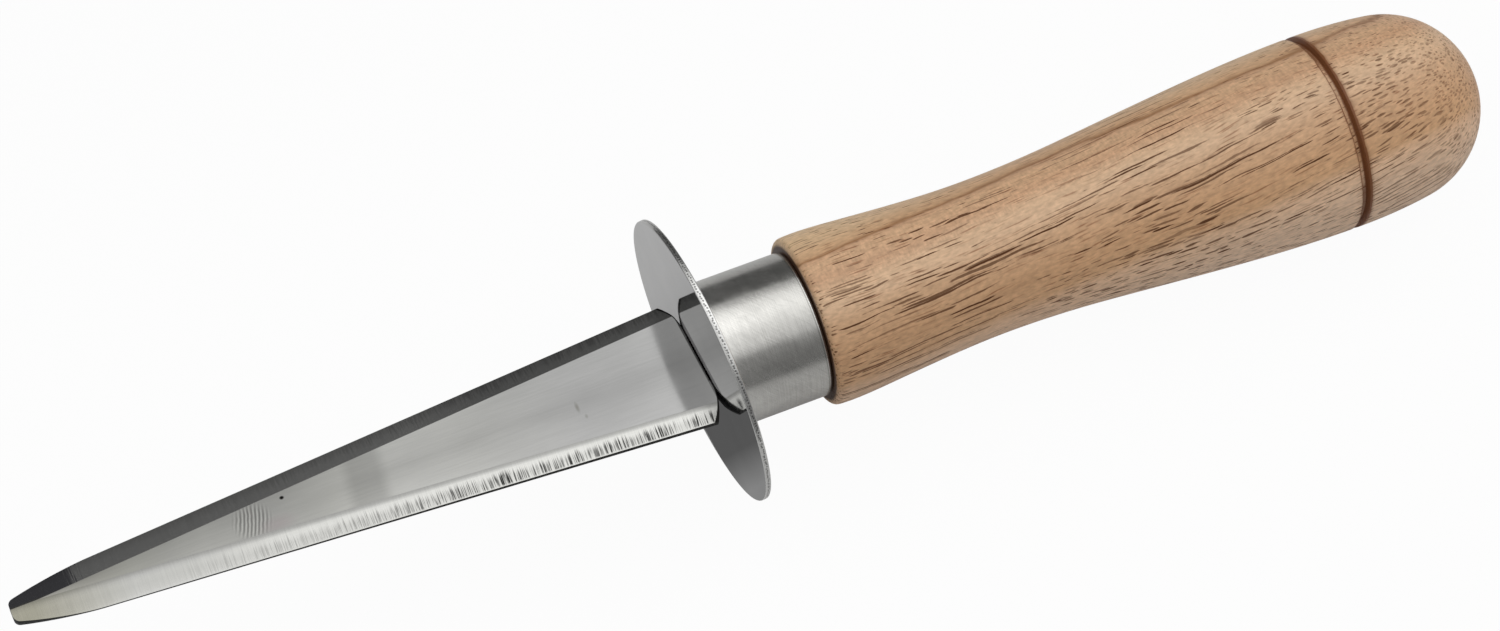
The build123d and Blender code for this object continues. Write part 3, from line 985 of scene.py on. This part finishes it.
# %% Wandering grain
wander_size = (24, 7, 7)
wander_reach = (0, 2.2, 0.9)
wander_place = add_node(wood, VECTOR, {0: board, 1: per_size(*wander_size)}, operation="MULTIPLY")[0]
wander = add_node(
    wood, NOISE, {"Vector": wander_place, "Scale": 1.0, "Detail": 3.0, "Roughness": 0.65}
)["Color"]
wander_centred = add_node(wood, VECTOR, {0: wander, 1: (0.5, 0.5, 0.5)}, operation="SUBTRACT")[0]
wander_mm = add_node(wood, VECTOR, {0: wander_centred, 1: wander_reach}, operation="MULTIPLY")[0]
pore_place, layer_place = (
    add_node(wood, VECTOR, {0: place, 1: wander_mm}, operation="ADD")[0] for place in (straight, board)
)
layer_mm = add_node(wood, SPLIT, {0: layer_place})["Y"]
print("layers wander over", wander_size[0], "mm of length")

# %% Growth layers, with painted bounce light
layer_from, layer_to = -12.0, 12.0
# The lightest tones at the low end of the ramp are painted bounce light from the table, laid over the layers'
# own colours.
layer_and_bounce_stops = [
    (-12.0, "#E6C5A7"), (-9.0, "#E4BE9C"), (-7.5, "#D2A77F"), (-5.0, "#CDA27B"), (-1.0, "#CDA682"),
    (1.5, "#D8B593"), (3.0, "#D8B592"), (5.0, "#CBA27F"), (6.8, "#D1AB87"), (7.45, "#C7A07F"),
    (7.65, "#986F4C"), (8.0, "#CEA680"), (9.5, "#DBBA94"), (12.0, "#E5C499"),
]
layer_share = add_node(wood, RANGE, {"Value": layer_mm, "From Min": layer_from, "From Max": layer_to})[0]
layers = add_node(wood, RAMP, {0: layer_share}, stops=ramp_stops(layer_and_bounce_stops, layer_from, layer_to))["Color"]
print("tones across the growth layers:", len(layer_and_bounce_stops))

# %% Bands, fibres, ripples and crowds
wood_noises = {}
for name, size_mm, detail, roughness in (
    ("bands", (50, 1.1, 1.1), 3.0, 0.6),
    ("fibres", (0.9, 0.35, 0.35), 2.0, 0.5),
    ("ripples", (0.3, 0.8, 0.8), 1.0, 0.5),
    ("crowds", (16, 2.2, 2.2), 1.0, 0.5),
):
    place = add_node(wood, VECTOR, {0: pore_place, 1: per_size(*size_mm)}, operation="MULTIPLY")[0]
    wood_noises[name] = add_node(
        wood, NOISE, {"Vector": place, "Scale": 1.0, "Detail": detail, "Roughness": roughness}
    )[0]
    print(name, "are", size_mm[0], "mm long and", size_mm[1], "mm wide")
fibres = wood_noises["fibres"]
ripple_zone_low = add_node(wood, RANGE, {"Value": layer_mm, "From Min": 2.8, "From Max": 3.8})[0]
ripple_zone_high = add_node(wood, RANGE, {"Value": layer_mm, "From Min": 7.8, "From Max": 6.8})[0]
ripple_zone = add_node(wood, MATH, {0: ripple_zone_low, 1: ripple_zone_high}, operation="MULTIPLY")[0]
ripple_centred = add_node(wood, MATH, {0: wood_noises["ripples"], 1: 0.5}, operation="SUBTRACT")[0]
ripple_height = add_node(wood, MATH, {0: ripple_centred, 1: ripple_zone}, operation="MULTIPLY")[0]

# %% [markdown]
# ## Open pores
# A pore is a fine tube along the grain. Voronoi cells that are long along the grain and narrow
# across it give each pore a middle, and the distance from there, made ragged by the fibres, is
# compared with the pore's own radius, which the cell's random colour sets. Long pores are deep
# and dark, and short ones are faint. A real pore is about 0.2 mm wide, and the widest here are
# nearly twice that, so that the render can show them.

# %% Cells of the open pores
raggedness = add_node(wood, MATH, {0: fibres, 1: 0.16, 2: -0.08}, operation="MULTIPLY_ADD")[0]
pore_luck, pore_distance = {}, {}
for kind, length, spacing in (("long", 34.0, 0.36), ("short", 7.0, 0.3)):
    pore_scale = per_size(length, spacing, spacing)
    place = add_node(wood, VECTOR, {0: pore_place, 1: pore_scale}, operation="MULTIPLY")[0]
    cells = add_node(wood, CELLS, {"Vector": place, "Scale": 1.0}, voronoi_dimensions="3D")
    pore_luck[kind] = add_node(wood, SPLIT, {0: cells["Color"]})
    pore_distance[kind] = add_node(wood, MATH, {0: cells["Distance"], 1: raggedness}, operation="ADD")[0]
    print(kind, "pores: cells", length, "mm long and", spacing, "mm apart")

# %% Dark insides of the pores
crowd_share = add_node(
    wood, RANGE,
    {"Value": wood_noises["crowds"], "From Min": 0.35, "From Max": 0.6, "To Min": 0.84, "To Max": 1.18},
)[0]
layer_crowd = add_node(wood, RANGE, {"Value": layer_mm, "From Min": 4.5, "From Max": 1.0, "To Min": 0.62})[0]
pore_crowd = add_node(wood, MATH, {0: crowd_share, 1: layer_crowd}, operation="MULTIPLY")[0]
pore_size = add_node(wood, MATH, {0: pore_luck["long"]["X"], 1: 0.31, 2: 0.2}, operation="MULTIPLY_ADD")[0]
pore_radius = add_node(wood, MATH, {0: pore_size, 1: pore_crowd}, operation="MULTIPLY")[0]
long_ratio = add_node(wood, MATH, {0: pore_distance["long"], 1: pore_radius}, operation="DIVIDE")[0]
long_mask, short_mask = (
    add_node(
        wood, RANGE, {"Value": distance, "From Min": rim, "From Max": core}, interpolation_type="SMOOTHSTEP"
    )[0]
    for distance, rim, core in ((long_ratio, 1.0, 0.7), (pore_distance["short"], 0.42, 0.12))
)
long_depth = add_node(wood, MATH, {0: pore_luck["long"]["Y"], 1: 0.5, 2: 0.5}, operation="MULTIPLY_ADD")[0]
long_dark, short_dark = (
    add_node(wood, MATH, {0: mask, 1: depth}, operation="MULTIPLY")[0]
    for mask, depth in ((long_mask, long_depth), (short_mask, pore_luck["short"]["X"]))
)
print("wood so far:", len(wood.nodes), "nodes")

# %% Wood colour
short_tone, short_strength = "#85502C", 0.7
long_tone, long_strength = "#553014", 1.0
wood_tone = layers
for height, reach, low, high in (
    (wood_noises["bands"], (0.25, 0.75), 0.92, 1.07),
    (fibres, (0.25, 0.75), 0.82, 1.14),
    (ripple_height, (-0.3, 0.3), 0.86, 1.14),
):
    level = add_node(
        wood, RANGE,
        {"Value": height, "From Min": reach[0], "From Max": reach[1], "To Min": low, "To Max": high},
    )[0]
    wood_tone = add_node(wood, VECTOR, {0: wood_tone, "Scale": level}, operation="SCALE")[0]
butt_fade = add_node(
    wood, RANGE, {"Value": grain["X"], "From Min": 84.0, "From Max": 94.0, "To Min": 1.0, "To Max": 0.6}
)[0]
faded_dark = add_node(wood, MATH, {0: long_dark, 1: butt_fade}, operation="MULTIPLY")[0]
for darkness, strength, pore_tone in (
    (short_dark, short_strength, short_tone),
    (faded_dark, long_strength, long_tone),
):
    share = add_node(wood, MATH, {0: darkness, 1: strength}, operation="MULTIPLY")[0]
    wood_tone = add_node(wood, MIX, {0: share, 6: wood_tone, 7: linear(pore_tone)}, data_type="RGBA")[2]
print("long pores are", long_tone, "inside, short ones", short_tone)

# %% [markdown]
# ## Burnt lines and painted shade
# The groove near the butt was cut with a hot, fast tool, which browned its rear wall and its
# front edge and left the floor pale. The floor's sides are darkened with painted shade, and so is
# the wood's front face against the ferrule. The burns and the painted shade lie over the wood at
# places along the knife, and the grain makes the groove's line uneven.

# %% Burnt groove
groove_x = (82.9, 83.95)
burn_from, burn_to = 82.0, 85.5
burn_stops = [
    (82.0, 0.0), (82.6, 0.08), (82.78, 0.3), (82.84, 0.9), (82.96, 0.9), (83.05, 0.3), (83.15, 0.15),
    (83.42, 0.2), (83.54, 0.8), (83.62, 1.0), (84.18, 1.0), (84.3, 0.5), (84.6, 0.12), (85.5, 0.0),
]
burn_waviness = 0.25
wood_xyz = add_node(wood, SPLIT, {0: wood_mm})
burn_shift = add_node(wood, MATH, {0: wood_noises["bands"], 1: 0.5}, operation="SUBTRACT")[0]
burn_x = add_node(
    wood, MATH, {0: burn_shift, 1: burn_waviness, 2: wood_xyz["X"]}, operation="MULTIPLY_ADD"
)[0]
burn_share = add_node(wood, RANGE, {"Value": burn_x, "From Min": burn_from, "From Max": burn_to})[0]
groove_burn = add_node(wood, RAMP, {0: burn_share}, stops=ramp_stops(burn_stops, burn_from, burn_to))["Color"]
print("the groove is burnt from", burn_from, "to", burn_to, "mm")

# %% Painted shade on the sides of the groove's floor
floor_from, floor_to = 82.95, 83.5
pale_middle_y = -2.9
floor_start = add_node(wood, MATH, {0: burn_x, 1: floor_from}, operation="GREATER_THAN")[0]
floor_end = add_node(wood, MATH, {0: burn_x, 1: floor_to}, operation="LESS_THAN")[0]
on_floor = add_node(wood, MATH, {0: floor_start, 1: floor_end}, operation="MULTIPLY")[0]
floor_across = add_node(wood, MATH, {0: grain["Y"], 1: pale_middle_y}, operation="SUBTRACT")[0]
floor_side = add_node(wood, MATH, {0: floor_across}, operation="ABSOLUTE")[0]
floor_side_shade = add_node(
    wood, RANGE, {"Value": floor_side, "From Min": 6.5, "From Max": 8.5, "To Max": 0.85}
)[0]
floor_painted_shade = add_node(wood, MATH, {0: on_floor, 1: floor_side_shade}, operation="MULTIPLY")[0]
burn_and_shade = add_node(wood, MATH, {0: groove_burn, 1: floor_painted_shade}, operation="MAXIMUM")[0]
grooved = add_node(wood, MIX, {0: burn_and_shade, 6: wood_tone, 7: linear("#774A2C")}, data_type="RGBA")[2]
print("the floor is", round(floor_to - floor_from, 2), "mm wide")

# %% Painted shade on the front face, against the ferrule
off_axis = add_node(wood, VECTOR, {0: wood_mm, 1: (0, 1, 1)}, operation="MULTIPLY")[0]
axis_distance = add_node(wood, VECTOR, {0: off_axis}, operation="LENGTH")["Value"]
front_reach = add_node(wood, RANGE, {"Value": wood_xyz["X"], "From Min": 13.98, "From Max": 13.8})[0]
front_ring = add_node(wood, RANGE, {"Value": axis_distance, "From Min": 10.1, "From Max": 9.7})[0]
front_painted_shade = add_node(wood, MATH, {0: front_reach, 1: front_ring}, operation="MULTIPLY")[0]
wood_colour = add_node(wood, MIX, {0: front_painted_shade, 6: grooved, 7: linear("#4A2F1E")}, data_type="RGBA")[2]
print("the front face starts at", ferrule_end, "mm")

# %% Wood surface
fibre_height = add_node(wood, MATH, {0: fibres, 1: 0.35}, operation="MULTIPLY")[0]
wood_height = add_node(wood, MATH, {0: fibre_height, 1: long_dark}, operation="SUBTRACT")[0]
wood_bump = add_node(wood, BUMP, {"Strength": 0.6, "Distance": 0.05 * MM, "Height": wood_height})[0]
wood_roughness = add_node(wood, RANGE, {"Value": long_dark, "To Min": 0.42, "To Max": 0.7})[0]
wood_look = {"Base Color": wood_colour, "Roughness": wood_roughness, "Specular IOR Level": 0.25}
wood_surface = add_node(wood, SURFACE, {**wood_look, "Normal": wood_bump})[0]
add_node(wood, OUTPUT, {"Surface": wood_surface})
print("rubberwood:", len(wood.nodes), "nodes")

# %% [markdown]
# ## The handle's shape
# A turned handle is a profile spun round an axis, in the workshop and here. The profile runs
# through a few stations, where the handle was measured in the photograph, and Bezier curves join
# them. The butt is a round dome, and the groove near it is cut into the same profile.

# %% Handle outline
belly_x, belly_radius = 84.55, 12.5
dome_radius = 12.0
dome_start_angle = math.radians(8)
dome_start_x, dome_start_radius, dome_start_slope = 94.02, 11.883, -0.1405
dome_steps = 24
butt_end = 104.35
handle_stations = [
    (ferrule_end, 10.6, 0.10),
    (16.95, 10.7, -0.03),
    (23.75, 10.25, -0.075),
    (37.25, 9.575, 0.0),
    (50.02, 10.13, 0.085),
    (62.6, 11.27, 0.088),
    (belly_x, belly_radius, 0.0),
    (dome_start_x, dome_start_radius, dome_start_slope),
]


def handle_outline():
    """Points of the turned outline, from the front face to the butt."""
    step_length, fewest_steps = 1.2, 4
    points = []
    for (x0, r0, slope0), (x1, r1, slope1) in zip(handle_stations, handle_stations[1:]):
        third = (x1 - x0) / 3
        knots = (
            Vector((x0, r0, 0)),
            Vector((x0 + third, r0 + slope0 * third, 0)),
            Vector((x1 - third, r1 - slope1 * third, 0)),
            Vector((x1, r1, 0)),
        )
        count = max(fewest_steps, round((x1 - x0) / step_length))
        points += [tuple(point.xy) for point in interpolate_bezier(*knots, count)[:-1]]
    centre = butt_end - dome_radius
    for step in range(dome_steps + 1):
        angle = dome_start_angle + (math.pi / 2 - dome_start_angle) * step / dome_steps
        points.append((centre + dome_radius * math.sin(angle), dome_radius * math.cos(angle)))
    return points


def radius_at(points, x):
    """The outline's radius at a distance along the knife."""
    for (x0, r0), (x1, r1) in zip(points, points[1:]):
        if x0 <= x <= x1:
            return r0 + (r1 - r0) * (x - x0) / (x1 - x0)
    return points[-1][1]


print("the outline has", len(handle_outline()), "points")

# %% Handle
groove_depth = 0.6
front_round = 0.7
tenon_start, tenon_radius = 1.2, 8.3
handle_steps = 160


def turned_handle():
    """The handle with its tenon, its groove and its rounded front rim."""
    outline = handle_outline()
    left, right = groove_x
    wall_slant = 0.27
    floor = belly_radius - groove_depth
    before = [point for point in outline if point[0] < left - wall_slant]
    after = [point for point in outline if point[0] > right + wall_slant]
    groove = [
        (left, radius_at(outline, left)), (left + wall_slant, floor),
        (right - wall_slant, floor), (right, radius_at(outline, right)),
    ]
    front = [(tenon_start, 0), (tenon_start, tenon_radius), (ferrule_end, tenon_radius)]
    bm = bmesh.new()
    profile_line(bm, front + before + groove + after)
    spin_round_knife(bm, handle_steps)
    print("front rim edges rounded:", round_rim(bm, ferrule_end, tenon_radius, front_round))
    return bm


handle = finish_piece(turned_handle(), "turned_handle", [rubberwood], "handle")
shade_up_to_angle(handle, 35)

# %% [markdown]
# ## The hidden resin
# The tang is bedded in resin inside the handle. Nothing of it shows, so the CAD solid stays and
# only gets its finish: amber cured epoxy with a few small bubbles.

# %% Cured resin
cured_resin, resin, resin_mm = new_material("cured_amber_epoxy")
bubble_place = add_node(resin, VECTOR, {0: resin_mm, 1: per_size(1.5, 1.5, 1.5)}, operation="MULTIPLY")[0]
bubbles = add_node(resin, CELLS, {"Vector": bubble_place, "Scale": 1.0})["Distance"]
resin_stops = [(0.1, "#D9C08A"), (0.2, "#C4A263"), (1.0, "#B08C4C")]
resin_colour = add_node(resin, RAMP, {0: bubbles}, stops=ramp_stops(resin_stops))["Color"]
resin_bump = add_node(resin, BUMP, {"Strength": 0.4, "Distance": 0.1 * MM, "Height": bubbles})[0]
resin_surface = add_node(
    resin, SURFACE, {"Base Color": resin_colour, "Roughness": 0.25, "Normal": resin_bump}
)[0]
add_node(resin, OUTPUT, {"Surface": resin_surface})
tang_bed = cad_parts["tang_adhesive"]
for material_slot in tang_bed.material_slots:
    material_slot.material = cured_resin
print("resin on", len(tang_bed.material_slots), "slots of", tang_bed.name)

# %% [markdown]
# ## The table
# The knife rests on the rim of its guard and on the belly of its handle, so the table is tilted
# a little against the knife's own frame. The table is white paper: the camera and clear things
# see it as nearly pure white, metal sees a little of that white too, and it still takes the
# knife's shadow.

# %% Studio cards
def stage_card(name, size_x, size_y, matrix, material):
    """A flat card of the studio, which isn't part of the knife."""
    bm = bmesh.new()
    bmesh.ops.create_grid(bm, x_segments=1, y_segments=1, size=0.5)
    bmesh.ops.scale(bm, verts=bm.verts, vec=(size_x, size_y, 1))
    bmesh.ops.transform(bm, matrix=matrix, verts=bm.verts)
    mesh = bpy.data.meshes.new(name)
    bm.to_mesh(mesh)
    bm.free()
    mesh.materials.append(material)
    card = bpy.data.objects.new(name, mesh)
    bpy.context.scene.collection.objects.link(card)
    print(name, "is", round(size_x, 3), "by", round(size_y, 3), "m")
    return card


# %% Table
table_size = 6.0
table_gap = 0.2
direct_white, glossy_white = 0.96, 0.12
table_tilt = math.atan2(guard_radius - belly_radius, belly_x)
table_paper, paper, _ = new_material("white_table_paper")
rays = add_node(paper, "ShaderNodeLightPath")
direct = add_node(
    paper, MATH, {0: rays["Is Camera Ray"], 1: rays["Is Transmission Ray"]}, operation="MAXIMUM"
)[0]
direct_share = add_node(paper, MATH, {0: direct, 1: direct_white}, operation="MULTIPLY")[0]
white_share = add_node(
    paper, MATH, {0: rays["Is Glossy Ray"], 1: glossy_white, 2: direct_share}, operation="MULTIPLY_ADD"
)[0]
matt_paper = add_node(paper, "ShaderNodeBsdfDiffuse", {"Color": linear("#D3D3D3")})[0]
white_glow = add_node(paper, "ShaderNodeEmission", {"Color": grey(1.0), "Strength": 1.0})[0]
paper_surface = add_node(paper, "ShaderNodeMixShader", {0: white_share, 1: matt_paper, 2: white_glow})[0]
add_node(paper, OUTPUT, {"Surface": paper_surface})
table_drop = Matrix.Translation((0, 0, -(guard_radius + table_gap) * MM))
table_place = table_drop @ Matrix.Rotation(-table_tilt, 4, "Y")
stage_card("table", table_size, table_size, table_place, table_paper)
print("table tilted by", round(math.degrees(table_tilt), 2), "degrees")

# %% [markdown]
# ## The light
# Steel shows the room, so the light is built as a photographer builds it: one wide soft box over
# the knife, brighter in its middle and fading towards the tip, and two dark flags beside the
# knife, which draw the dark bands on the ferrule and the dark bevel. A small dark card under the
# heel, seen in reflections only, is a painted shadow: it stands for the knife's shadow on the
# table and gives the guard's lower front its dark tone. Cards that shine are used instead of
# lamps, because a lamp lets the world behind it through in a reflection.

# %% Soft box
full_glow = 2.0
tip_glow = 0.72 * full_glow
box_height = 0.7
box_length = 2.4
box_centre_x = 0.15
low_y, high_y = -0.66, 0.76
box_stops = [
    (-0.66, 0.175), (-0.55, 0.375), (-0.404, 0.5), (-0.149, 0.625), (-0.024, 0.775), (0.086, 0.9),
    (0.34, 0.8), (0.45, 0.75), (0.56, 0.55), (0.75, 0.225),
]
box_silk, silk, silk_mm = new_material("soft_box_silk")
silk_xyz = add_node(silk, SPLIT, {0: silk_mm})
silk_range = {"From Min": low_y / MM, "From Max": high_y / MM}
silk_share = add_node(silk, RANGE, {"Value": silk_xyz["Y"], **silk_range})[0]
silk_level = add_node(silk, RAMP, {0: silk_share}, stops=ramp_stops(box_stops, low_y, high_y))["Color"]
silk_strength = add_node(
    silk, RANGE,
    {
        "Value": silk_xyz["X"], "From Min": -100.0, "From Max": 40.0,
        "To Min": tip_glow, "To Max": full_glow,
    },
)[0]
silk_glow = add_node(silk, "ShaderNodeEmission", {"Color": silk_level, "Strength": silk_strength})[0]
add_node(silk, OUTPUT, {"Surface": silk_glow})
box_place = Matrix.Translation((box_centre_x, (low_y + high_y) / 2, box_height))
soft_box = stage_card("soft_box", box_length, high_y - low_y, box_place, box_silk)
soft_box.visible_camera = False

# %% Flags
flag_centre_x = 0.1
flag_length = 2.4


def shining_cloth(name, axis, start_mm, end_mm, start_level, end_level):
    """A cloth that glows at a level that changes evenly between two places on an axis."""
    cloth, tree, place_mm = new_material(name + "_cloth")
    along = add_node(tree, SPLIT, {0: place_mm})[axis]
    level = add_node(
        tree, RANGE,
        {
            "Value": along, "From Min": start_mm, "From Max": end_mm,
            "To Min": start_level, "To Max": end_level,
        },
    )[0]
    glow = add_node(tree, "ShaderNodeEmission", {"Color": grey(1.0), "Strength": level})[0]
    add_node(tree, OUTPUT, {"Surface": glow})
    return cloth


def flag(name, distance, foot, top_angle_deg, foot_level, top_level):
    """A long dark card beside the knife, up to an angle above the knife's axis."""
    top = abs(distance) * math.tan(math.radians(top_angle_deg))
    cloth = shining_cloth(name, "Z", foot / MM, top / MM, foot_level, top_level)
    upright = Matrix.Rotation(math.pi / 2, 4, "X")
    place = Matrix.Translation((flag_centre_x, distance, (foot + top) / 2))
    card = stage_card(name, flag_length, top - foot, place @ upright, cloth)
    card.visible_camera = False


flag("far_flag", distance=0.14, foot=-0.04, top_angle_deg=41, foot_level=0.14, top_level=0.14)
flag("near_flag", distance=-0.2, foot=0.0, top_angle_deg=48, foot_level=0.22, top_level=0.38)

# %% Painted shadow card under the heel
card_centre_x, card_length = -0.01675, 0.0355
card_low_y, card_high_y = -0.016, 0.008
card_z = -0.0172
painted_shadow_cloth = shining_cloth("painted_shadow_card", "Y", -11.0, -5.6, start_level=0.33, end_level=0.13)
card_place = Matrix.Translation((card_centre_x, (card_low_y + card_high_y) / 2, card_z))
painted_shadow_card = stage_card("painted_shadow_card", card_length, card_high_y - card_low_y, card_place, painted_shadow_cloth)
painted_shadow_card.visible_camera = False
painted_shadow_card.visible_diffuse = False
painted_shadow_card.visible_shadow = False

# %% World
world_fill = 0.4
world = bpy.data.worlds.new("white_studio")
bpy.context.scene.world = world
world.use_nodes = True
sky = world.node_tree
sky.nodes.clear()
sky_rays = add_node(sky, "ShaderNodeLightPath")
seen = sky_rays["Is Camera Ray"]
for ray_kind in ("Is Glossy Ray", "Is Transmission Ray"):
    seen = add_node(sky, MATH, {0: seen, 1: sky_rays[ray_kind]}, operation="MAXIMUM")[0]
sky_level = add_node(sky, RANGE, {"Value": seen, "To Min": world_fill, "To Max": 1.0})[0]
sky_glow = add_node(sky, "ShaderNodeBackground", {"Color": grey(1.0), "Strength": sky_level})[0]
add_node(sky, "ShaderNodeOutputWorld", {"Surface": sky_glow})
print("the world lights the knife at", world_fill, "and shows as white")

# %% View
bpy.context.scene.view_settings.view_transform = "Standard"
print("colours render through", bpy.context.scene.view_settings.view_transform)
